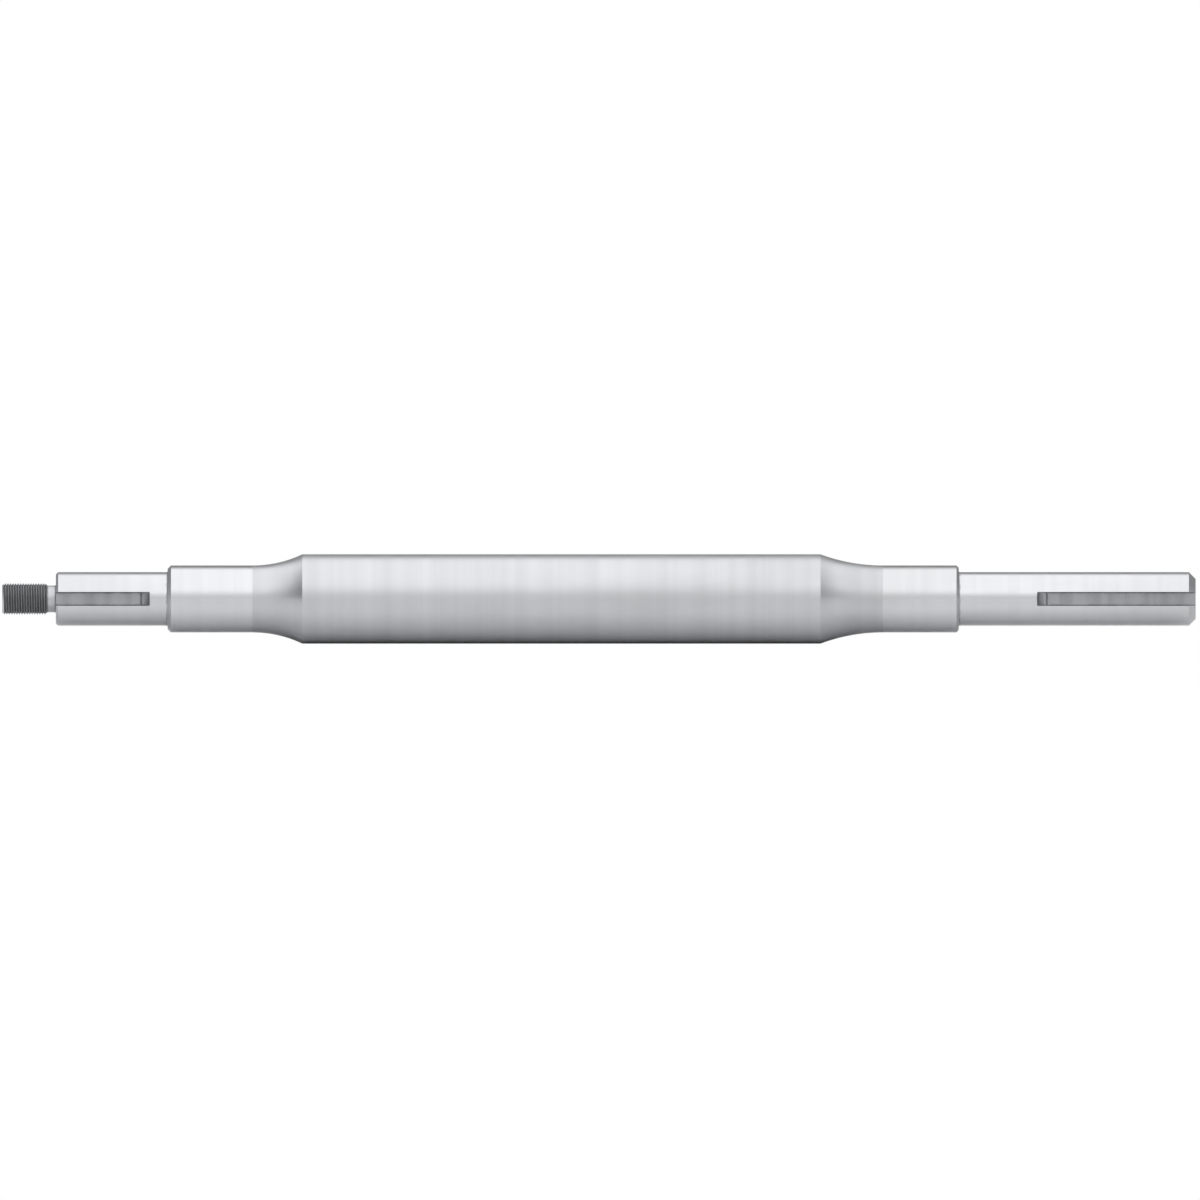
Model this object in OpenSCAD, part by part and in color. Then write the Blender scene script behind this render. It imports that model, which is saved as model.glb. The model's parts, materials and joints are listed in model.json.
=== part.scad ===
// Countershaft: one steel bar, turned between centres, that carries a keyed hub at each end.
// From left to right along X: threaded end, relief neck, left hub seat, left bearing journal,
// body with a hollow-radius shoulder at each end, right bearing journal, right hub seat.
// The axis is X, the origin is on the axis at mid-length, and both keyways face -Y. Millimetres.

/* [Threaded end] */
// Major diameter of the thread (7/8 inch, 14 threads per inch, drawn plain)
thread_d = 22.22; // [20:0.01:30]
// Length of the thread
thread_len = 31.75; // [15:0.05:60]
// Chamfer at the start of the thread
thread_chamfer = 1.5; // [0.4:0.1:3]
// Chamfer where the thread runs out into the neck
thread_runout_chamfer = 1; // [0.2:0.1:1.4]
// Diameter of the relief neck behind the thread
neck_d = 19.05; // [14:0.01:19.5]
// Width of the relief neck
neck_len = 6.35; // [3:0.05:15]

/* [Hub seats] */
// Diameter of both hub seats (1 1/2 inch)
seat_d = 38.1; // [32:0.01:42]
// Length of the left hub seat
left_seat_len = 79.375; // [70:0.125:140]
// Chamfer at the outer end of the left hub seat
left_seat_chamfer = 1.6; // [0.4:0.1:4]
// Length of the right hub seat
right_seat_len = 168.275; // [120:0.125:260]
// Chamfer at the outer end of the right hub seat
right_seat_chamfer = 4.8; // [0.4:0.1:8]

/* [Bearing journals] */
// Diameter of both bearing journals (1 7/8 inch, ground)
journal_d = 47.62; // [45:0.01:56]
// Length of the left bearing journal
left_journal_len = 60.325; // [30:0.125:120]
// Chamfer at the outer end of the left bearing journal
left_journal_chamfer = 2.4; // [0.4:0.1:3]
// Length of the right bearing journal
right_journal_len = 53.975; // [30:0.125:120]
// Chamfer at the outer end of the right bearing journal
right_journal_chamfer = 1.6; // [0.4:0.1:3]
// Tool-nose radius left in each square inner corner
corner_r = 0.8; // [0.2:0.1:1.4]

/* [Body] */
// Diameter of the body (2 1/2 inch)
body_d = 63.5; // [58:0.1:80]
// Distance between the inner ends of the two bearing journals
span_len = 447.675; // [200:0.125:2000]
// Hollow radius of the left shoulder, tangent to the journal
left_shoulder_r = 82.55; // [40:0.05:160]
// Hollow radius of the right shoulder, tangent to the journal
right_shoulder_r = 127; // [40:0.05:160]

/* [Keyways] */
// Width of both keyways (3/8 inch key)
key_w = 9.525; // [6:0.005:12]
// Depth of both keyways, measured down the side wall
key_depth = 4.76; // [3:0.01:7]
// Length of the left keyway, from the seat's outer face to the end of its run-out
left_keyway_len = 66.7; // [30:0.1:69]
// Length of the left keyway's curved run-out
left_keyway_runout = 6.1; // [4:0.1:20]
// Length of the right keyway, from the shaft's end face to the end of its run-out
right_keyway_len = 112.7; // [40:0.1:118]
// Length of the right keyway's curved run-out
right_keyway_runout = 7; // [4:0.1:20]

/* [Centre holes] */
// Diameter of the centre hole's 60 degree mouth, in both end faces
centre_mouth_d = 8; // [5:0.1:12]
// Diameter of the centre hole's pilot
centre_pilot_d = 3.2; // [2:0.1:4.5]
// Depth of the straight part of the pilot
centre_pilot_len = 4; // [2:0.1:10]

/* [Hidden] */
$fn = 96;

thread_r = thread_d / 2;
neck_r = neck_d / 2;
seat_r = seat_d / 2;
journal_r = journal_d / 2;
body_r = body_d / 2;

total_len = thread_len + neck_len + left_seat_len + left_journal_len + span_len
    + right_journal_len + right_seat_len;

// Stations along the axis, from the left end face to the right one
left_end = -total_len / 2;
thread_end = left_end + thread_len;
left_seat_face = thread_end + neck_len;
left_journal_face = left_seat_face + left_seat_len;
left_journal_inner = left_journal_face + left_journal_len;
right_journal_inner = left_journal_inner + span_len;
right_journal_face = right_journal_inner + right_journal_len;
right_end = right_journal_face + right_seat_len;

// Distance of the keyway's floor from the axis, its depth under the seat's crown, and room to cut past a face
key_floor = sqrt(seat_r * seat_r - key_w * key_w / 4) - key_depth;
key_crown_depth = seat_r - key_floor;
overcut = 5;

centre_mouth_angle = 60;
centre_tip_angle = 118;

steel = [0.72, 0.73, 0.75];

// A turned step as a half section: radius along X, axis along Y, with a chamfer at each end
module turned_step(radius, from, to, chamfer_from = 0, chamfer_to = 0) {
    polygon([
        [0, from],
        [radius - chamfer_from, from],
        [radius, from + chamfer_from],
        [radius, to - chamfer_to],
        [radius - chamfer_to, to],
        [0, to]
    ]);
}

// The rounded inner corner where a step meets a taller face, no higher than that face.
// Its side is 1 if the face looks towards +axis.
module inner_corner(radius, face_top, face, side) {
    nose_r = min(corner_r, face_top - radius);
    translate([radius, face])
        mirror([0, side < 0 ? 1 : 0])
            difference() {
                translate([-nose_r, -nose_r]) square(2 * nose_r);
                translate([nose_r, nose_r]) circle(nose_r);
            }
}

// The round hollow that a shoulder's form tool leaves, tangent to the journal at its inner end
module shoulder_hollow(journal_inner, hollow_r) {
    translate([journal_r, journal_inner])
        translate([hollow_r, 0])
            circle(hollow_r, $fn = 360);
}

// The body bar between the two journals, with both shoulders hollowed out
module body_section() {
    difference() {
        turned_step(body_r, left_journal_inner, right_journal_inner);
        shoulder_hollow(left_journal_inner, left_shoulder_r);
        shoulder_hollow(right_journal_inner, right_shoulder_r);
    }
}

// A lathe centre hole cut into an end face; side is 1 if the face looks towards +axis
module centre_hole(face, side) {
    mouth_r = centre_mouth_d / 2;
    pilot_r = centre_pilot_d / 2;
    mouth_slope = tan(centre_mouth_angle / 2);
    mouth_depth = (mouth_r - pilot_r) / mouth_slope;
    pilot_end = mouth_depth + centre_pilot_len;
    tip_depth = pilot_end + pilot_r / tan(centre_tip_angle / 2);
    translate([0, face])
        mirror([0, side > 0 ? 1 : 0])
            polygon([
                [0, -overcut],
                [mouth_r + overcut * mouth_slope, -overcut],
                [pilot_r, mouth_depth],
                [pilot_r, pilot_end],
                [0, tip_depth]
            ]);
}

// Half section of the whole turned bar, before the keyways are milled
module half_section() {
    difference() {
        union() {
            turned_step(thread_r, left_end, thread_end, thread_chamfer, thread_runout_chamfer);
            turned_step(neck_r, thread_end, left_seat_face);
            turned_step(seat_r, left_seat_face, left_journal_face, left_seat_chamfer);
            turned_step(journal_r, left_journal_face, left_journal_inner, left_journal_chamfer);
            body_section();
            turned_step(journal_r, right_journal_inner, right_journal_face, 0, right_journal_chamfer);
            turned_step(seat_r, right_journal_face, right_end, 0, right_seat_chamfer);
            inner_corner(neck_r, seat_r - left_seat_chamfer, left_seat_face, -1);
            inner_corner(seat_r, journal_r - left_journal_chamfer, left_journal_face, -1);
            inner_corner(seat_r, journal_r - right_journal_chamfer, right_journal_face, 1);
        }
        centre_hole(left_end, -1);
        centre_hole(right_end, 1);
    }
}

// The path of a slotting cutter along a seat: flat floor, then the round run-out it leaves when it lifts.
// The path starts at face and runs inwards; side is 1 if the face looks towards +axis.
module keyway_cut(face, side, length, runout) {
    cutter_r = (runout * runout + key_crown_depth * key_crown_depth) / (2 * key_crown_depth);
    floor_len = length - runout;
    translate([face, 0, -key_w / 2])
        mirror([side > 0 ? 1 : 0, 0, 0])
            mirror([0, 1, 0])
                linear_extrude(key_w) {
                    translate([-overcut, key_floor])
                        square([floor_len + overcut, 2 * cutter_r]);
                    intersection() {
                        translate([floor_len, key_floor]) translate([0, cutter_r]) circle(cutter_r);
                        translate([floor_len, key_floor]) square(2 * cutter_r);
                    }
                }
}

module countershaft() {
    color(steel)
        difference() {
            rotate([0, 90, 0]) rotate_extrude() half_section();
            keyway_cut(left_seat_face, -1, left_keyway_len, left_keyway_runout);
            keyway_cut(right_end, 1, right_keyway_len, right_keyway_runout);
        }
}

countershaft();
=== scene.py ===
"""A steel countershaft on a plain studio stage: one bar, turned, ground, milled and threaded.

The bar lies along X with its threaded end at the left and both keyways facing -Y. Metres throughout.
"""

import json
import math

import bmesh
import bpy
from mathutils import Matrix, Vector


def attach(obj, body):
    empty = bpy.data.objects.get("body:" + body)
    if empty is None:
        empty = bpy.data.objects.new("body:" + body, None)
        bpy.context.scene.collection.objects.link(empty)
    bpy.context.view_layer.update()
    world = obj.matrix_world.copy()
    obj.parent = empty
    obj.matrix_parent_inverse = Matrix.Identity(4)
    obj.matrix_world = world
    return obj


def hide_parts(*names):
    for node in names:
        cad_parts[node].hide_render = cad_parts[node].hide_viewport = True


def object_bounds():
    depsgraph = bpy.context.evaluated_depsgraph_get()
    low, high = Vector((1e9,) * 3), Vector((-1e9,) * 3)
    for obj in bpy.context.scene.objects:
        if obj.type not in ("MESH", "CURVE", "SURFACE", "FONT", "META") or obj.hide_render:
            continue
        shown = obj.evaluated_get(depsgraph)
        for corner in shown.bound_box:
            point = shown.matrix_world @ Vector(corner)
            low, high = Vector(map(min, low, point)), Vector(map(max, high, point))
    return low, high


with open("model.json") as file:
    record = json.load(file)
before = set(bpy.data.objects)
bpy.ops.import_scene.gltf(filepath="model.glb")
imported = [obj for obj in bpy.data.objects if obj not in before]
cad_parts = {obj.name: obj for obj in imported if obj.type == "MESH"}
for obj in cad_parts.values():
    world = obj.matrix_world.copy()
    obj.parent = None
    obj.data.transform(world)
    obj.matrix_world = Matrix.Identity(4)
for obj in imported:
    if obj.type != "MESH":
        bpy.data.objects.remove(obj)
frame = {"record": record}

bl_info = {
    "name": "Countershaft",
    "version": (1, 0, 0),
    "blender": (4, 5, 0),
    "location": "3D View > Sidebar > Countershaft",
    "description": "Turns a keyed steel countershaft from a bar and sets it on a studio stage",
    "category": "Add Mesh",
}

NODE = "countershaft"
BODY = "root"
PIECE = "finished_shaft"

CAD_LOW, CAD_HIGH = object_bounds()
STEPS = {mount["name"]: mount for mount in frame["record"]["mounts"]}

# Material slots of the shaft, in order
TURNED, FORMED, GROUND, FACED, MILLED, THREADED = range(6)

# Whole angles of a lathe centre's mouth, of its drill's tip and of the thread's groove
CENTRE_ANGLE = math.radians(60)
TIP_ANGLE = math.radians(118)
GROOVE_ANGLE = math.radians(60)

# How far a cutter starts outside the face that it enters, and the thread's groove runs on over the neck
OVERCUT = 0.005
GROOVE_PAST = 0.002

# Width of the narrow strip beside a soft corner
STRIP = 0.0003

# Strips of the bar across half a keyway. The slot's edges then fall in the middle of a strip, and the
# seat stays smooth beside them.
HALF_SLOT_STRIPS = 5.5

# Points closer than this are merged, in a shape as drawn and in the bar after its cuts
DRAWN_WELD = 1e-7
CUT_WELD = 2e-6
SHORTEST_EDGE = 1e-6

# Faces that meet at less than this angle are shaded as one
SMOOTH_ANGLE = math.radians(16)

# How far a face leans along the axis: above the first it was cut across the bar, below the second it is
# level with the axis
STEEP = 0.45
LEVEL = 1e-4

# Tool marks: lines against bands in contrast, roughness that the bands vary, depth as a share of the feed
LINE_CONTRAST = 4.0
BAND_ROUGHNESS = 0.1
MARK_DEPTH = 0.03

# Film of oil: size of a patch, its tint, and the roughness that it adds
FILM_PATCH = 0.05
FILM_TINT = 0.12
FILM_DULLING = 0.05

# Painted shade with settled oil in inner corners: its tint, how dark it is beside the film, the oil's
# roughness
OILY_SHADE_TINT = 0.7
OILY_SHADE_DARKNESS = 0.3
OIL_DULLING = 0.2

# Directions between which each light of the studio fades, as parts of a unit vector
SOFTBOX_LEAN = -0.25
SOFTBOX_EDGE = (0.35, 0.75)
SOFTBOX_ENDS = (0.85, 0.40)
SOFTBOX_BACK = (0.0, 0.35)
BACK_WALL = (0.1, 0.9)
FRONT_WALL = (-0.6, -0.98)
END_WALLS = (0.80, 0.95)
HORIZON = 0.012

FLOOR_HALF_SIZE = 15.0
FLOOR_ROUGHNESS = 0.9
CAMERA_DISTANCE = 2.0


def step_span(name):
    """Left end, right end and radius of a plain turned step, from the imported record."""
    step = STEPS[name]
    middle = step["pos_m"][0]
    half = step["dims"]["length_mm"] / 2000
    return middle - half, middle + half, step["dims"]["r_mm"] / 1000


def length(label, what, metres):
    """A length that a user may change."""
    return bpy.props.FloatProperty(
        name=label, description=what, default=metres, min=0.0, precision=5, unit="LENGTH")


def position(label, what, metres):
    """A place along an axis that a user may change."""
    return bpy.props.FloatProperty(
        name=label, description=what, default=metres, precision=5, unit="LENGTH")


def share(label, what, value):
    """A number from 0 to 1 that a user may change."""
    return bpy.props.FloatProperty(
        name=label, description=what, default=value, min=0.0, max=1.0, precision=3, subtype="FACTOR")


def strength(label, what, value):
    """The strength of a light that a user may change."""
    return bpy.props.FloatProperty(
        name=label, description=what, default=value, min=0.0, max=3.0, precision=3)


def colour(label, what, rgb):
    """A colour that a user may change."""
    return bpy.props.FloatVectorProperty(
        name=label, description=what, default=rgb, size=3, min=0.0, max=1.0, subtype="COLOR")


class ShaftSizes(bpy.types.PropertyGroup):
    """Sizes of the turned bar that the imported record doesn't give."""
    body_d: length("Body diameter", "Diameter of the body between the shoulders", 0.0635)
    left_shoulder_r: length("Left shoulder radius", "Hollow radius beside the left journal", 0.08255)
    right_shoulder_r: length("Right shoulder radius", "Hollow radius beside the right journal", 0.127)
    neck_d: length("Neck diameter", "Diameter of the relief neck behind the thread", 0.01905)
    corner_r: length("Corner radius", "Tool-nose radius in each square inner corner", 0.0008)
    edge_break: length("Edge break", "Size of the file's pass over each turned edge", 0.00015)
    thread_chamfer: length("Thread chamfer", "Chamfer at the start of the thread", 0.0015)
    thread_runout: length("Thread run-out", "Chamfer where the thread meets its neck", 0.001)
    left_seat_chamfer: length("Left seat chamfer", "Chamfer at the left hub seat's outer end", 0.0016)
    right_seat_chamfer: length("Right seat chamfer", "Chamfer at the right hub seat's outer end", 0.0048)
    left_journal_chamfer: length(
        "Left journal chamfer", "Chamfer at the left journal's outer end", 0.0024)
    right_journal_chamfer: length(
        "Right journal chamfer", "Chamfer at the right journal's outer end", 0.0016)
    centre_mouth_d: length("Centre mouth", "Diameter of the 60 degree mouth of each lathe centre", 0.008)
    centre_pilot_d: length("Centre pilot", "Diameter of each lathe centre's pilot", 0.0032)
    centre_pilot_len: length("Centre pilot depth", "Straight depth of each lathe centre's pilot", 0.004)


class KeywaySizes(bpy.types.PropertyGroup):
    """Sizes of the two keyways."""
    width: length("Width", "Width of both keyways", 0.009525)
    depth: length("Depth", "Depth of both keyways, down the side wall", 0.00476)
    left_len: length("Left length", "From the left seat's face to the end of the run-out", 0.0667)
    left_runout: length("Left run-out", "Length of the left keyway's curved end", 0.0061)
    right_len: length("Right length", "From the right end face to the end of the run-out", 0.1127)
    right_runout: length("Right run-out", "Length of the right keyway's curved end", 0.007)
    floor_r: length("Floor corner", "Radius along both edges of the floor", 0.0004)
    rim: length("Rim break", "Size of the chamfer along the rim of each wall", 0.0003)


class ThreadSizes(bpy.types.PropertyGroup):
    """Form of the right-hand thread."""
    pitch: length("Pitch", "Distance from crest to crest, 14 to the inch", 0.0254 / 14)
    depth_share: share("Depth share", "Depth of the groove as a share of the pitch", 0.6134)
    crest_share: share("Crest share", "Width of the crest as a share of the pitch", 0.125)


class SteelFinish(bpy.types.PropertyGroup):
    """Colours and roughness of the machined surfaces."""
    turned: colour("Turned steel", "Body, straight from the lathe", (0.60, 0.61, 0.63))
    formed: colour("Formed steel", "Hollow shoulders, cut by a form tool", (0.57, 0.58, 0.60))
    ground: colour("Ground steel", "Journals and hub seats", (0.66, 0.67, 0.69))
    faced: colour("Faced steel", "End faces, steps, chamfers and neck", (0.56, 0.57, 0.59))
    milled: colour("Milled steel", "Keyways", (0.40, 0.41, 0.43))
    threaded: colour("Threaded steel", "Crests and flanks of the thread", (0.38, 0.39, 0.41))
    # The oil film's colour, darkened, is also the painted shade in inner corners, keyways and thread roots
    film: colour("Oil film", "Thin film of preserving oil", (0.33, 0.32, 0.30))
    turned_rough: share("Turned roughness", "Roughness of the body", 0.34)
    formed_rough: share("Formed roughness", "Roughness of the shoulders", 0.32)
    ground_rough: share("Ground roughness", "Roughness of the journals and hub seats", 0.20)
    faced_rough: share("Faced roughness", "Roughness of the faces, chamfers and neck", 0.36)
    milled_rough: share("Milled roughness", "Roughness of the keyways", 0.44)
    threaded_rough: share("Threaded roughness", "Roughness of the thread", 0.40)


class StageLook(bpy.types.PropertyGroup):
    """Light, floor and framing."""
    floor: colour("Floor", "Colour of the floor", (0.95, 0.95, 0.95))
    overhead: strength("Overhead light", "Strength of the wide soft light above", 1.35)
    front: strength("Front wall", "Strength of the wall in front", 0.8)
    ends: strength("End walls", "Strength of the walls at both ends of the shaft", 0.55)
    side: strength("Wall corners", "Strength of the dim corners between the walls", 0.13)
    back: strength("Back wall", "Strength of the wall behind", 0.30)
    under: strength("Floor's rim", "What shows past the floor's edge, as pale as the lit floor", 0.8506)
    frame_width: length("Frame width", "Width of the picture", 0.8524)
    frame_x: position("Frame X", "Middle of the picture along the shaft", 0.00075)
    frame_z: position("Frame Z", "Height of the middle of the picture", -0.00075)


class Outline:
    """A pen that draws the bar's half outline in the keyways' plane: x along the axis, r out of it."""

    def __init__(self, bm, x, r):
        self.bm = bm
        self.tip = bm.verts.new((x, -r, 0.0))
        self.corners_to_break = []

    def line(self, x, r):
        """Draw straight to a point."""
        drawn = bmesh.ops.extrude_vert_indiv(self.bm, verts=[self.tip])
        self.tip = drawn["verts"][0]
        self.tip.co = (x, -r, 0.0)

    def held_line(self, x, r, broken=False):
        """Draw straight to a point, whose corner may be broken later, with a narrow strip at each end.

        The strips take up the shading of the corners, so that the rest of the line stays true.
        """
        end = Vector((x, -r, 0.0))
        strip = (end - self.tip.co).normalized() * STRIP
        for point in (self.tip.co + strip, end - strip, end):
            self.line(point.x, -point.y)
        if broken:
            self.corners_to_break.append(self.tip)

    def arc(self, x, r, turn, count):
        """Draw an arc round a centre; a positive turn goes from its left, by way of inwards, to its right."""
        drawn = bmesh.ops.spin(
            self.bm, geom=[self.tip], cent=(x, -r, 0.0), axis=(0.0, 0.0, -1.0), angle=turn, steps=count)
        self.tip = next(v for v in drawn["geom_last"] if isinstance(v, bmesh.types.BMVert))


def shoulder_turn(rise, hollow_r):
    """Angle of a hollow shoulder that climbs from a journal to the body."""
    return math.acos(1.0 - rise / hollow_r)


def centre_outline(sizes):
    """Depths and radii of a lathe centre, from its mouth to its tip."""
    mouth_r = sizes.centre_mouth_d / 2
    pilot_r = sizes.centre_pilot_d / 2
    mouth_depth = (mouth_r - pilot_r) / math.tan(CENTRE_ANGLE / 2)
    pilot_depth = mouth_depth + sizes.centre_pilot_len
    tip_depth = pilot_depth + pilot_r / math.tan(TIP_ANGLE / 2)
    return [(0.0, mouth_r), (mouth_depth, pilot_r), (pilot_depth, pilot_r), (tip_depth, 0.0)]


def stations(sizes):
    """Places of the bar's faces along the axis, and the radii of its steps."""
    thread_from, thread_to, thread_r = step_span("threaded_end")
    left_seat_from, left_seat_to, seat_r = step_span("left_seat")
    _, left_inner, journal_r = step_span("left_journal")
    right_inner, right_journal_to, _ = step_span("right_journal")
    _, right_seat_to, _ = step_span("right_seat")
    return {
        "left_end": thread_from - sizes.thread_chamfer,
        "thread_end": thread_to + sizes.thread_runout,
        "left_seat": left_seat_from - sizes.left_seat_chamfer,
        "left_journal": left_seat_to + sizes.corner_r,
        "left_inner": left_inner,
        "right_inner": right_inner,
        "right_journal": right_journal_to + sizes.right_journal_chamfer,
        "right_end": right_seat_to + sizes.right_seat_chamfer,
        "thread_r": thread_r,
        "neck_r": sizes.neck_d / 2,
        "seat_r": seat_r,
        "journal_r": journal_r,
        "body_r": sizes.body_d / 2,
    }


def draw_bar(bm, sizes, at):
    """Draw the bar's half outline from the left lathe centre to the right one.

    Gives the corners that a file breaks.
    """
    nose = sizes.corner_r
    quarter = math.pi / 2
    corner_steps = 8
    shoulder_steps = 20
    centre = centre_outline(sizes)
    left, right = at["left_end"], at["right_end"]

    pen = Outline(bm, left + centre[-1][0], 0.0)
    for depth, radius in reversed(centre[:-1]):
        pen.line(left + depth, radius)
    pen.line(left, at["thread_r"] - sizes.thread_chamfer)
    pen.line(left + sizes.thread_chamfer, at["thread_r"])
    pen.line(at["thread_end"] - sizes.thread_runout, at["thread_r"])
    pen.line(at["thread_end"], at["thread_r"] - sizes.thread_runout)
    pen.line(at["thread_end"], at["neck_r"])

    pen.held_line(at["left_seat"] - nose, at["neck_r"])
    pen.arc(at["left_seat"] - nose, at["neck_r"] + nose, quarter, corner_steps)
    pen.held_line(at["left_seat"], at["seat_r"] - sizes.left_seat_chamfer, broken=True)
    pen.held_line(at["left_seat"] + sizes.left_seat_chamfer, at["seat_r"], broken=True)

    pen.held_line(at["left_journal"] - nose, at["seat_r"])
    pen.arc(at["left_journal"] - nose, at["seat_r"] + nose, quarter, corner_steps)
    pen.held_line(at["left_journal"], at["journal_r"] - sizes.left_journal_chamfer, broken=True)
    pen.held_line(at["left_journal"] + sizes.left_journal_chamfer, at["journal_r"], broken=True)

    rise = at["body_r"] - at["journal_r"]
    left_turn = shoulder_turn(rise, sizes.left_shoulder_r)
    right_turn = shoulder_turn(rise, sizes.right_shoulder_r)
    pen.held_line(at["left_inner"], at["journal_r"])
    pen.arc(at["left_inner"], at["journal_r"] + sizes.left_shoulder_r, left_turn, shoulder_steps)
    pen.line(at["right_inner"] - sizes.right_shoulder_r * math.sin(right_turn), at["body_r"])
    pen.arc(at["right_inner"], at["journal_r"] + sizes.right_shoulder_r, right_turn, shoulder_steps)

    pen.held_line(at["right_journal"] - sizes.right_journal_chamfer, at["journal_r"], broken=True)
    pen.held_line(at["right_journal"], at["journal_r"] - sizes.right_journal_chamfer, broken=True)
    pen.held_line(at["right_journal"], at["seat_r"] + nose)
    pen.arc(at["right_journal"] + nose, at["seat_r"] + nose, quarter, corner_steps)
    pen.held_line(right - sizes.right_seat_chamfer, at["seat_r"], broken=True)
    pen.held_line(right, at["seat_r"] - sizes.right_seat_chamfer, broken=True)
    pen.held_line(right, centre[0][1])
    for depth, radius in centre[1:]:
        pen.line(right - depth, radius)
    return pen.corners_to_break


def close_up(bm):
    """Merge the double points of a drawn shape and turn its faces outwards."""
    bmesh.ops.remove_doubles(bm, verts=bm.verts[:], dist=DRAWN_WELD)
    bmesh.ops.recalc_face_normals(bm, faces=bm.faces[:])


def turn_bar(sizes, at, strips):
    """The plain bar as a closed mesh, before it is milled and threaded."""
    bm = bmesh.new()
    corners = draw_bar(bm, sizes, at)
    bmesh.ops.bevel(
        bm, geom=corners, offset=sizes.edge_break, offset_type="OFFSET", segments=2, profile=0.5,
        affect="VERTICES", material=-1)
    bmesh.ops.spin(
        bm, geom=bm.verts[:] + bm.edges[:], cent=(0.0, 0.0, 0.0), axis=(1.0, 0.0, 0.0),
        angle=2 * math.pi, steps=strips, use_merge=True)
    close_up(bm)
    for face in bm.faces:
        face.material_index = finish_at(face, at)
    return bm


def finish_at(face, at):
    """Which finish a face of the plain bar gets, from its place and the way it faces."""
    x = face.calc_center_median().x
    lean = abs(face.normal.x)
    if lean > STEEP:
        return FACED
    if x < at["thread_end"]:
        return THREADED
    if x < at["left_seat"]:
        return FACED
    if not at["left_inner"] < x < at["right_inner"]:
        return GROUND
    return FORMED if lean > LEVEL else TURNED


def mesh_object(name, bm, materials):
    """Turn a bmesh into an object of the scene."""
    mesh = bpy.data.meshes.new(name)
    bm.to_mesh(mesh)
    bm.free()
    for material in materials:
        mesh.materials.append(material)
    made = bpy.data.objects.new(name, mesh)
    bpy.context.scene.collection.objects.link(made)
    return made


def cut_away(bar, cutter_bm, materials):
    """Cut a closed shape out of the bar and drop it."""
    cutter = mesh_object("cutter", cutter_bm, materials)
    cut = bar.modifiers.new("cut", "BOOLEAN")
    cut.operation = "DIFFERENCE"
    cut.solver = "EXACT"
    cut.object = cutter
    seen = bar.evaluated_get(bpy.context.evaluated_depsgraph_get())
    before, bar.data = bar.data, bpy.data.meshes.new_from_object(seen)
    bar.modifiers.remove(cut)
    bpy.data.meshes.remove(before)
    dropped = cutter.data
    bpy.data.objects.remove(cutter)
    bpy.data.meshes.remove(dropped)


def keyway_floor(keys, seat_r):
    """Distance of a keyway's floor from the axis."""
    return math.sqrt(seat_r ** 2 - keys.width ** 2 / 4) - keys.depth


def cutter_path(section, face, inwards, reach, rounding=0.0):
    """A cutter's section, carried along the axis from outside a face to its reach past that face.

    The section is drawn as (r, z), and its first two corners may be rounded. Gives the bmesh, and what is
    at its far end.
    """
    bm = bmesh.new()
    start = face - inwards * OVERCUT
    corners = [bm.verts.new((start, -r, z)) for r, z in section]
    bm.faces.new(corners)
    if rounding:
        bmesh.ops.bevel(
            bm, geom=corners[:2], offset=rounding, offset_type="OFFSET", segments=4, profile=0.5,
            affect="VERTICES", material=-1)
    carried = bmesh.ops.extrude_face_region(bm, geom=bm.faces[:] + bm.edges[:] + bm.verts[:])
    far_end = carried["geom"]
    bmesh.ops.translate(
        bm, verts=[v for v in far_end if isinstance(v, bmesh.types.BMVert)],
        vec=(inwards * (reach + OVERCUT), 0.0, 0.0))
    return bm, far_end


def keyway_cutters(keys, seat_r, face, inwards, run, runout):
    """Paths of the two tools that make a keyway, from a face inwards.

    A slotting cutter runs flat and then lifts out in a curve. A file runs along the rims of the slot.
    """
    half = keys.width / 2
    floor = keyway_floor(keys, seat_r)
    rise = seat_r - floor
    cutter_r = (runout ** 2 + rise ** 2) / (2 * rise)
    axle = floor + cutter_r
    flat = run - runout
    lift_steps = 18
    slot, lift = cutter_path(
        [(floor, -half), (floor, half), (axle, half), (axle, -half)], face, inwards, flat, keys.floor_r)
    bmesh.ops.spin(
        slot, geom=lift, cent=(face + inwards * flat, -axle, 0.0), axis=(0.0, 0.0, -inwards),
        angle=math.pi / 2, steps=lift_steps)

    # The file's flanks flare from a little inside the slot, and end where the run-out comes up to them
    inside = keys.rim / 3
    low = floor + keys.depth - keys.rim - inside
    narrow = half - inside
    wide = narrow + axle - low
    rims, _ = cutter_path(
        [(low, -narrow), (low, narrow), (axle, wide), (axle, -wide)], face, inwards,
        flat + math.sqrt(cutter_r ** 2 - (axle - low) ** 2))
    for bm in (slot, rims):
        close_up(bm)
        for made in bm.faces:
            made.material_index = MILLED
    return slot, rims


def thread_cutter(thread, thread_r, first, last):
    """A right-hand groove as a closed coil, from one place on the axis to another."""
    steps_a_turn = 60
    clear = 0.0002
    slope = math.tan(GROOVE_ANGLE / 2)
    depth = thread.depth_share * thread.pitch
    top_half = (1.0 - thread.crest_share) * thread.pitch / 2 + clear * slope
    root_half = top_half - (depth + clear) * slope
    steps = math.ceil((last - first) / thread.pitch * steps_a_turn)
    bm = bmesh.new()
    groove = [bm.verts.new((first + dx, -r, 0.0)) for dx, r in
              ((-root_half, thread_r - depth), (root_half, thread_r - depth),
               (top_half, thread_r + clear), (-top_half, thread_r + clear))]
    bm.faces.new(groove)
    bmesh.ops.spin(
        bm, geom=bm.verts[:] + bm.edges[:] + bm.faces[:], cent=(0.0, 0.0, 0.0), axis=(1.0, 0.0, 0.0),
        dvec=(thread.pitch / steps_a_turn, 0.0, 0.0), angle=2 * math.pi * steps / steps_a_turn,
        steps=steps)
    bmesh.ops.recalc_face_normals(bm, faces=bm.faces[:])
    for made in bm.faces:
        made.material_index = THREADED
    return bm


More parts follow.
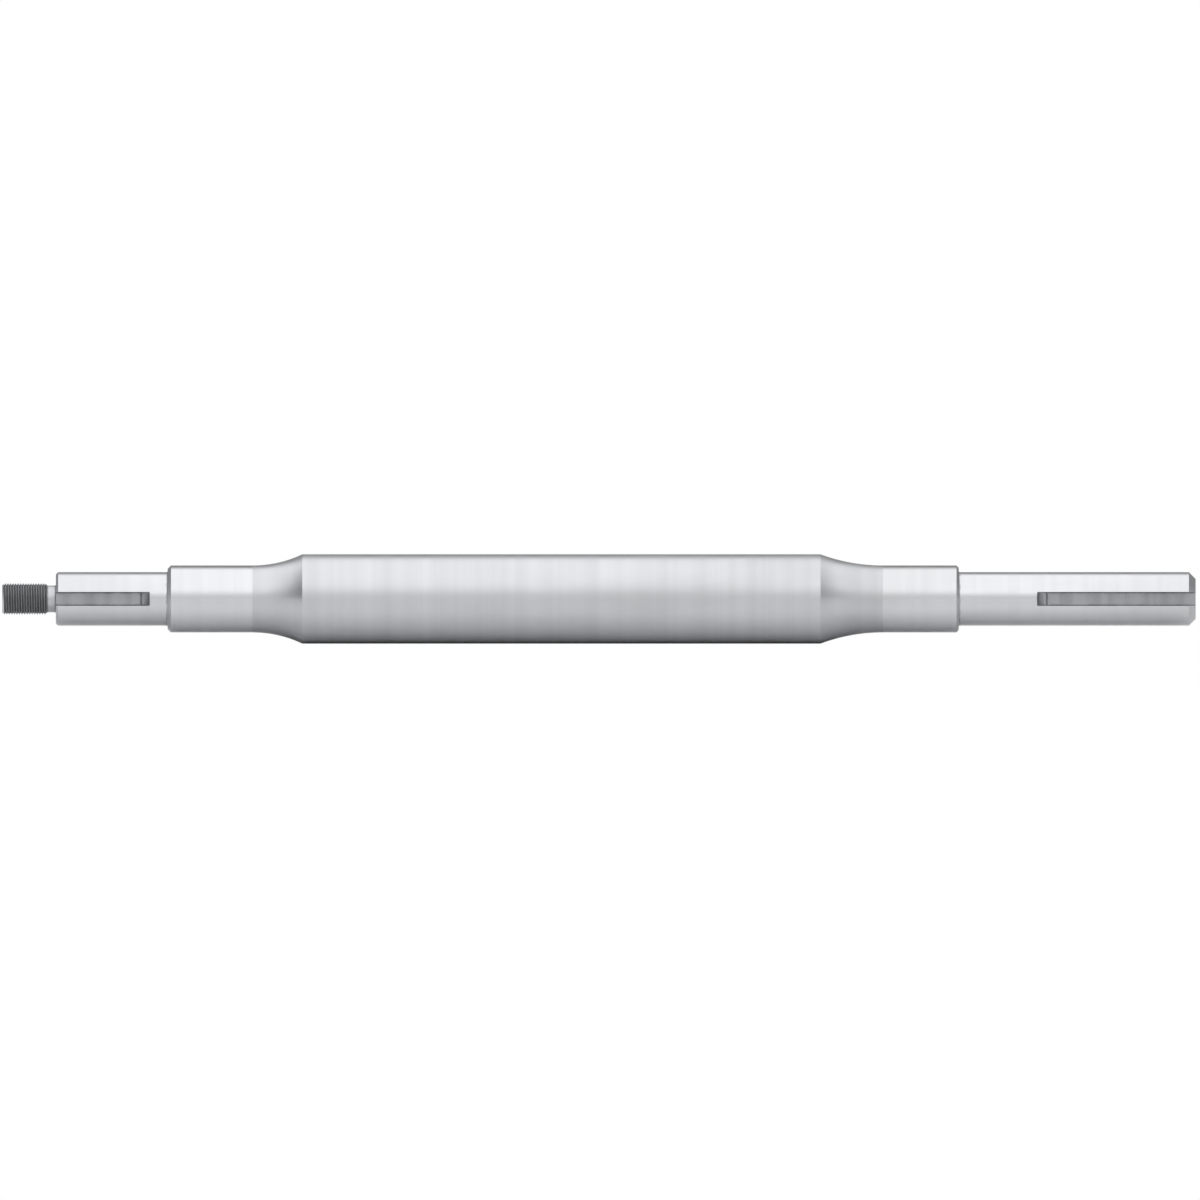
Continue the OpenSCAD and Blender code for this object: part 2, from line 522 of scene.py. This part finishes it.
def is_awkward(face):
    """Whether a face has many sides or a straight corner, and so may leave a sliver when it is split."""
    straight = math.radians(179.5)
    return len(face.verts) > 4 or any(loop.calc_angle() > straight for loop in face.loops)


def clean_up(bar):
    """Merge what the cuts left double, and stop if the bar isn't closed."""
    bm = bmesh.new()
    bm.from_mesh(bar.data)
    bmesh.ops.remove_doubles(bm, verts=bm.verts[:], dist=CUT_WELD)
    bmesh.ops.dissolve_degenerate(bm, dist=SHORTEST_EDGE, edges=bm.edges[:])
    bmesh.ops.triangulate(
        bm, faces=[f for f in bm.faces if is_awkward(f)], quad_method="BEAUTY", ngon_method="BEAUTY")
    bmesh.ops.recalc_face_normals(bm, faces=bm.faces[:])
    open_edges = [e for e in bm.edges if not e.is_manifold]
    bm.to_mesh(bar.data)
    bm.free()
    if open_edges:
        raise RuntimeError(f"the bar has {len(open_edges)} open edges")
    bar.data.shade_smooth()
    bar.data.set_sharp_from_angle(angle=SMOOTH_ANGLE)


def node(tree, kind, inputs=None, **settings):
    """Add a shader node; an input may be a value or another node's socket."""
    made = tree.nodes.new(kind)
    for name, value in settings.items():
        setattr(made, name, value)
    for socket, value in (inputs or {}).items():
        if isinstance(value, bpy.types.NodeSocket):
            tree.links.new(value, made.inputs[socket])
        else:
            made.inputs[socket].default_value = value
    return made


def maths(tree, operation, *values, clamp=False):
    """Work out one number from others."""
    made = node(tree, "ShaderNodeMath", dict(enumerate(values)), operation=operation, use_clamp=clamp)
    return made.outputs[0]


def hypotenuse(tree, first, second):
    """Long side of a right-angled triangle, from its two short sides."""
    squares = maths(tree, "MULTIPLY_ADD", first, first, maths(tree, "MULTIPLY", second, second))
    return maths(tree, "SQRT", squares)


def ramp(tree, value, low, high, to_low=0.0, to_high=1.0, soft=True):
    """Carry a value from one range to another."""
    made = node(
        tree, "ShaderNodeMapRange", {0: value, 1: low, 2: high, 3: to_low, 4: to_high},
        interpolation_type="SMOOTHSTEP" if soft else "LINEAR")
    return made.outputs[0]


def noise(tree, inputs, low, high, to_low=0.0, to_high=1.0, **settings):
    """A noise, with its values from low to high carried to another range."""
    made = node(tree, "ShaderNodeTexNoise", inputs, **settings)
    return ramp(tree, made.outputs[0], low, high, to_low, to_high)


def blend(tree, amount, first, second):
    """Mix two colours."""
    made = node(tree, "ShaderNodeMix", {0: amount, 6: first, 7: second}, data_type="RGBA")
    return made.outputs[2]


def grey(value):
    """A neutral colour."""
    return (value, value, value, 1.0)


def opaque(rgb, factor=1.0):
    """A colour for a socket, made lighter or darker."""
    return [min(1.0, part * factor) for part in rgb] + [1.0]


def new_group(name, inputs, outputs):
    """An empty shader node group with named number or vector sockets."""
    tree = bpy.data.node_groups.new(name, "ShaderNodeTree")
    for label, kind in inputs:
        tree.interface.new_socket(label, in_out="INPUT", socket_type=kind)
    for label, kind in outputs:
        tree.interface.new_socket(label, in_out="OUTPUT", socket_type=kind)
    return tree, tree.nodes.new("NodeGroupInput").outputs, tree.nodes.new("NodeGroupOutput").inputs


def use_group(tree, group, **inputs):
    """Place a shader node group in a material, with its own values."""
    return node(tree, "ShaderNodeGroup", inputs, node_tree=group).outputs


def tool_marks_group():
    """Marks that a tool leaves across its travel: fine lines, and slow bands where the cut changed."""
    tree, given, out = new_group(
        "tool marks",
        [("Travel", "NodeSocketFloat"), ("Feed", "NodeSocketFloat")],
        [("Lines", "NodeSocketFloat"), ("Bands", "NodeSocketFloat")])
    feeds_a_band = 11.0
    fine = maths(tree, "DIVIDE", given["Travel"], given["Feed"])
    slow = maths(tree, "DIVIDE", fine, feeds_a_band)
    lines = noise(tree, {"W": fine, "Scale": 1.0, "Detail": 1.0}, 0.3, 0.7, noise_dimensions="1D")
    bands = noise(tree, {"W": slow, "Scale": 1.0, "Detail": 3.0}, 0.25, 0.75, noise_dimensions="1D")
    tree.links.new(lines, out["Lines"])
    tree.links.new(bands, out["Bands"])
    return tree


def oil_film_group():
    """Where a film of preserving oil still lies, in patches that a rag has drawn out along the shaft."""
    tree, given, out = new_group(
        "oil film",
        [("Place", "NodeSocketVector"), ("Patch", "NodeSocketFloat")],
        [("Film", "NodeSocketFloat")])
    drawn_out = (0.35, 1.0, 1.0)
    wiped = node(tree, "ShaderNodeMapping", {"Vector": given["Place"], "Scale": drawn_out})
    size = maths(tree, "DIVIDE", 1.0, given["Patch"])
    scaled = node(tree, "ShaderNodeVectorMath", {0: wiped.outputs[0], "Scale": size}, operation="SCALE")
    smear = {"Vector": scaled.outputs[0], "Scale": 1.0, "Detail": 4.0, "Distortion": 0.4}
    tree.links.new(noise(tree, smear, 0.42, 0.68), out["Film"])
    return tree


def corner_shade_and_oil_group():
    """Painted shade in inner corners and recesses, with settled oil and fine dust: within reach of an inner
    corner, with a ragged edge.
    """
    tree, given, out = new_group(
        "settled oil",
        [("Place", "NodeSocketVector"), ("Distance", "NodeSocketFloat"), ("Reach", "NodeSocketFloat")],
        [("Settled", "NodeSocketFloat")])
    rag = {"Vector": given["Place"], "Scale": 260.0, "Detail": 2.0}
    reach = maths(tree, "MULTIPLY", given["Reach"], noise(tree, rag, 0.3, 0.7, 0.75, 1.25))
    near = maths(tree, "SUBTRACT", 1.0, maths(tree, "DIVIDE", given["Distance"], reach), clamp=True)
    tree.links.new(ramp(tree, near, 0.0, 1.0), out["Settled"])
    return tree


def distance_to(tree, along, radius, corners):
    """Distance to the nearest of some corners, each at a place on the axis and a radius from it."""
    nearest = None
    for corner_x, corner_r in corners:
        dx = maths(tree, "SUBTRACT", along, corner_x)
        dr = maths(tree, "SUBTRACT", radius, corner_r)
        gap = hypotenuse(tree, dx, dr)
        nearest = gap if nearest is None else maths(tree, "MINIMUM", nearest, gap)
    return nearest


def distance_in_keyway(tree, along, across, up, half, floor, lifts):
    """Distance to the edges of a keyway's floor, or to the places where its cutter stopped and lifted."""
    out = maths(tree, "MULTIPLY", across, -1.0)
    aside = maths(tree, "SUBTRACT", half, maths(tree, "ABSOLUTE", up))
    edges = hypotenuse(tree, aside, maths(tree, "SUBTRACT", out, floor))
    dwells = distance_to(tree, along, out, [(lift, floor) for lift in lifts])
    return maths(tree, "MINIMUM", edges, dwells)


def steel(name, groups, rgb, film_and_shade_rgb, rough, feed, bump, grain, faced=False, reach=0.0,
          corners=None, slot=None, root_r=None):
    """A machined steel finish.

    Feed is the distance between tool marks, bump their relief and grain their contrast. The tool moved
    along the axis, and across the radius too if the steel is faced. Painted shade, with settled oil, darkens
    the steel within reach of one of these: inner corners of the bar; the half width, floor and lift-off
    places of the keyways; or the root radius of the thread.
    """
    material = bpy.data.materials.new(name)
    material.use_nodes = True
    tree = material.node_tree
    tree.nodes.clear()
    place = node(tree, "ShaderNodeTexCoord").outputs["Object"]
    along, across, up = node(tree, "ShaderNodeSeparateXYZ", {0: place}).outputs
    radius = hypotenuse(tree, across, up)
    travel = maths(tree, "ADD", radius, along) if faced else along
    marks = use_group(tree, groups["marks"], Travel=travel, Feed=feed)
    film = use_group(tree, groups["film"], Place=place, Patch=FILM_PATCH)

    dark = opaque(rgb, 1.0 - grain)
    banded = blend(tree, marks["Bands"], dark, opaque(rgb, 1.0 + grain))
    lined = blend(tree, maths(tree, "MULTIPLY", marks["Lines"], grain * LINE_CONTRAST), banded, dark)
    look = blend(tree, maths(tree, "MULTIPLY", film["Film"], FILM_TINT), lined, opaque(film_and_shade_rgb))
    spread = ramp(
        tree, marks["Bands"], 0.0, 1.0, rough * (1.0 + BAND_ROUGHNESS), rough * (1.0 - BAND_ROUGHNESS),
        soft=False)
    dulled = maths(tree, "MULTIPLY_ADD", film["Film"], FILM_DULLING, spread)

    gap = None
    if corners:
        gap = distance_to(tree, along, radius, corners)
    if slot:
        gap = distance_in_keyway(tree, along, across, up, *slot)
    if root_r:
        gap = maths(tree, "SUBTRACT", radius, root_r)
    if gap is not None:
        # Painted shade with settled oil: darker, duller steel near inner corners, keyway edges, lift-off
        # places and thread roots
        oil = use_group(tree, groups["oil"], Place=place, Distance=gap, Reach=reach)
        tint = maths(tree, "MULTIPLY", oil["Settled"], OILY_SHADE_TINT)
        look = blend(tree, tint, look, opaque(film_and_shade_rgb, OILY_SHADE_DARKNESS))
        dulled = maths(tree, "MULTIPLY_ADD", oil["Settled"], OIL_DULLING, dulled)

    height = node(tree, "ShaderNodeBump", {
        "Strength": bump, "Distance": feed * MARK_DEPTH, "Height": marks["Lines"]})
    shader = node(tree, "ShaderNodeBsdfPrincipled", {
        "Base Color": look, "Metallic": 1.0, "Roughness": dulled, "Normal": height.outputs[0]})
    node(tree, "ShaderNodeOutputMaterial", {"Surface": shader.outputs[0]})
    return material


def steel_finishes(finish, at, keys, root_r):
    """The six finishes of the shaft, in the order of its material slots."""
    # The oil group paints shade in inner corners and recesses, together with settled oil
    groups = {"marks": tool_marks_group(), "film": oil_film_group(), "oil": corner_shade_and_oil_group()}
    steps = [(at["left_journal"], at["seat_r"]), (at["right_journal"], at["seat_r"])]
    neck = [(at["thread_end"], at["neck_r"]), (at["left_seat"], at["neck_r"])]
    left_lift = at["left_seat"] + keys.left_len - keys.left_runout
    right_lift = at["right_end"] - keys.right_len + keys.right_runout
    slot = (keys.width / 2, keyway_floor(keys, at["seat_r"]), (left_lift, right_lift))
    return [
        steel("turned_steel", groups, finish.turned, finish.film, finish.turned_rough,
              feed=0.0012, bump=0.3, grain=0.035),
        steel("formed_steel", groups, finish.formed, finish.film, finish.formed_rough,
              feed=0.0010, bump=0.2, grain=0.020),
        steel("ground_steel", groups, finish.ground, finish.film, finish.ground_rough,
              feed=0.0008, bump=0.1, grain=0.015, reach=0.0016, corners=steps),
        steel("faced_steel", groups, finish.faced, finish.film, finish.faced_rough,
              feed=0.0008, bump=0.35, grain=0.06, faced=True, reach=0.0014, corners=neck),
        steel("milled_steel", groups, finish.milled, finish.film, finish.milled_rough,
              feed=0.0009, bump=0.3, grain=0.08, reach=0.0012, slot=slot),
        steel("threaded_steel", groups, finish.threaded, finish.film, finish.threaded_rough,
              feed=0.0006, bump=0.2, grain=0.05, faced=True, reach=0.0010, root_r=root_r),
    ]


class COUNTERSHAFT_OT_shaft(bpy.types.Operator):
    """Turn the bar, mill its keyways, cut its thread and finish its surfaces"""
    bl_idname = "countershaft.shaft"
    bl_label = "Make the shaft"

    def execute(self, context):
        sizes = context.scene.shaft_sizes
        keys = context.scene.shaft_keyways
        thread = context.scene.shaft_thread
        at = stations(sizes)
        seat_r = at["seat_r"]
        root_r = at["thread_r"] - thread.depth_share * thread.pitch
        finishes = steel_finishes(context.scene.shaft_finish, at, keys, root_r)
        half_slot = math.asin(keys.width / 2 / seat_r)
        strips = round(2 * math.pi * HALF_SLOT_STRIPS / half_slot)
        bar = mesh_object(PIECE, turn_bar(sizes, at, strips), finishes)
        left = keyway_cutters(keys, seat_r, at["left_seat"], 1, keys.left_len, keys.left_runout)
        right = keyway_cutters(keys, seat_r, at["right_end"], -1, keys.right_len, keys.right_runout)
        groove = thread_cutter(
            thread, at["thread_r"], at["left_end"] - thread.pitch, at["thread_end"] + GROOVE_PAST)
        for cutter in (*left, *right, groove):
            cut_away(bar, cutter, finishes)
        clean_up(bar)
        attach(bar, BODY)
        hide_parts(NODE)
        return {"FINISHED"}


def studio_light(look):
    """A wide soft light above and in front, dim walls, and a low white backdrop round the horizon."""
    world = bpy.data.worlds.new("studio")
    world.use_nodes = True
    tree = world.node_tree
    tree.nodes.clear()
    place = node(tree, "ShaderNodeTexCoord").outputs["Generated"]
    x, y, z = node(tree, "ShaderNodeSeparateXYZ", {0: place}).outputs
    rise = math.sqrt(1.0 - SOFTBOX_LEAN ** 2)
    towards = maths(tree, "MULTIPLY_ADD", z, rise, maths(tree, "MULTIPLY", y, SOFTBOX_LEAN))
    endwise = maths(tree, "ABSOLUTE", x)
    strip = maths(tree, "MAXIMUM", ramp(tree, endwise, *SOFTBOX_ENDS), ramp(tree, y, *SOFTBOX_BACK))
    softbox = maths(tree, "MULTIPLY", ramp(tree, towards, *SOFTBOX_EDGE), strip)
    back = ramp(tree, y, *BACK_WALL, look.side, look.back)
    front = ramp(tree, y, *FRONT_WALL, 0.0, look.front - look.side)
    ends = ramp(tree, endwise, *END_WALLS, 0.0, look.ends - look.side)
    walls = maths(tree, "ADD", ends, maths(tree, "ADD", front, back))
    lit = blend(tree, softbox, walls, grey(look.overhead))
    backdrop = maths(tree, "LESS_THAN", z, HORIZON)
    backed = blend(tree, backdrop, lit, grey(1.0))
    under = maths(tree, "LESS_THAN", z, -HORIZON)
    floored = blend(tree, under, backed, grey(look.under))
    background = node(tree, "ShaderNodeBackground", {"Color": floored, "Strength": 1.0})
    node(tree, "ShaderNodeOutputWorld", {"Surface": background.outputs[0]})
    bpy.context.scene.world = world


def lay_floor(look):
    """A plain pale floor that the shaft's body lies on."""
    bm = bmesh.new()
    bmesh.ops.create_grid(bm, x_segments=1, y_segments=1, size=FLOOR_HALF_SIZE)
    bmesh.ops.translate(bm, verts=bm.verts[:], vec=(0.0, 0.0, CAD_LOW.z))
    material = bpy.data.materials.new("floor")
    material.use_nodes = True
    shader = material.node_tree.nodes["Principled BSDF"]
    shader.inputs["Base Color"].default_value = opaque(look.floor)
    shader.inputs["Roughness"].default_value = FLOOR_ROUGHNESS
    shader.inputs["Specular IOR Level"].default_value = 0.0
    floor = mesh_object("floor", bm, [material])


def set_camera(look):
    """A camera square to the keyways, with no perspective."""
    lens = bpy.data.cameras.new("camera")
    lens.type = "ORTHO"
    lens.ortho_scale = look.frame_width
    camera = bpy.data.objects.new("camera", lens)
    camera.location = (look.frame_x, -CAMERA_DISTANCE, look.frame_z)
    camera.rotation_euler = (math.pi / 2, 0.0, 0.0)
    bpy.context.scene.collection.objects.link(camera)
    bpy.context.scene.camera = camera


class COUNTERSHAFT_OT_stage(bpy.types.Operator):
    """Lay the floor, light the studio and place the camera"""
    bl_idname = "countershaft.stage"
    bl_label = "Set the stage"

    def execute(self, context):
        look = context.scene.shaft_stage
        lay_floor(look)
        studio_light(look)
        set_camera(look)
        context.scene.view_settings.view_transform = "Standard"
        return {"FINISHED"}


class COUNTERSHAFT_PT_panel(bpy.types.Panel):
    """Sizes, finishes and stage of the countershaft"""
    bl_idname = "COUNTERSHAFT_PT_panel"
    bl_label = "Countershaft"
    bl_space_type = "VIEW_3D"
    bl_region_type = "UI"
    bl_category = "Countershaft"

    def draw(self, context):
        for title, name, _ in GROUPS:
            box = self.layout.box()
            box.label(text=title)
            settings = getattr(context.scene, name)
            for field in settings.__annotations__:
                box.prop(settings, field)
        self.layout.operator(COUNTERSHAFT_OT_shaft.bl_idname)
        self.layout.operator(COUNTERSHAFT_OT_stage.bl_idname)


GROUPS = (
    ("Turned bar", "shaft_sizes", ShaftSizes),
    ("Keyways", "shaft_keyways", KeywaySizes),
    ("Thread", "shaft_thread", ThreadSizes),
    ("Finish", "shaft_finish", SteelFinish),
    ("Stage", "shaft_stage", StageLook),
)
CLASSES = [group for _, _, group in GROUPS] + [
    COUNTERSHAFT_OT_shaft, COUNTERSHAFT_OT_stage, COUNTERSHAFT_PT_panel]


def register():
    for made in CLASSES:
        bpy.utils.register_class(made)
    for _, name, group in GROUPS:
        setattr(bpy.types.Scene, name, bpy.props.PointerProperty(type=group))


def unregister():
    for _, name, _ in GROUPS:
        delattr(bpy.types.Scene, name)
    for made in reversed(CLASSES):
        bpy.utils.unregister_class(made)


def main():
    register()
    bpy.ops.countershaft.shaft()
    bpy.ops.countershaft.stage()


if __name__ == "__main__":
    main()
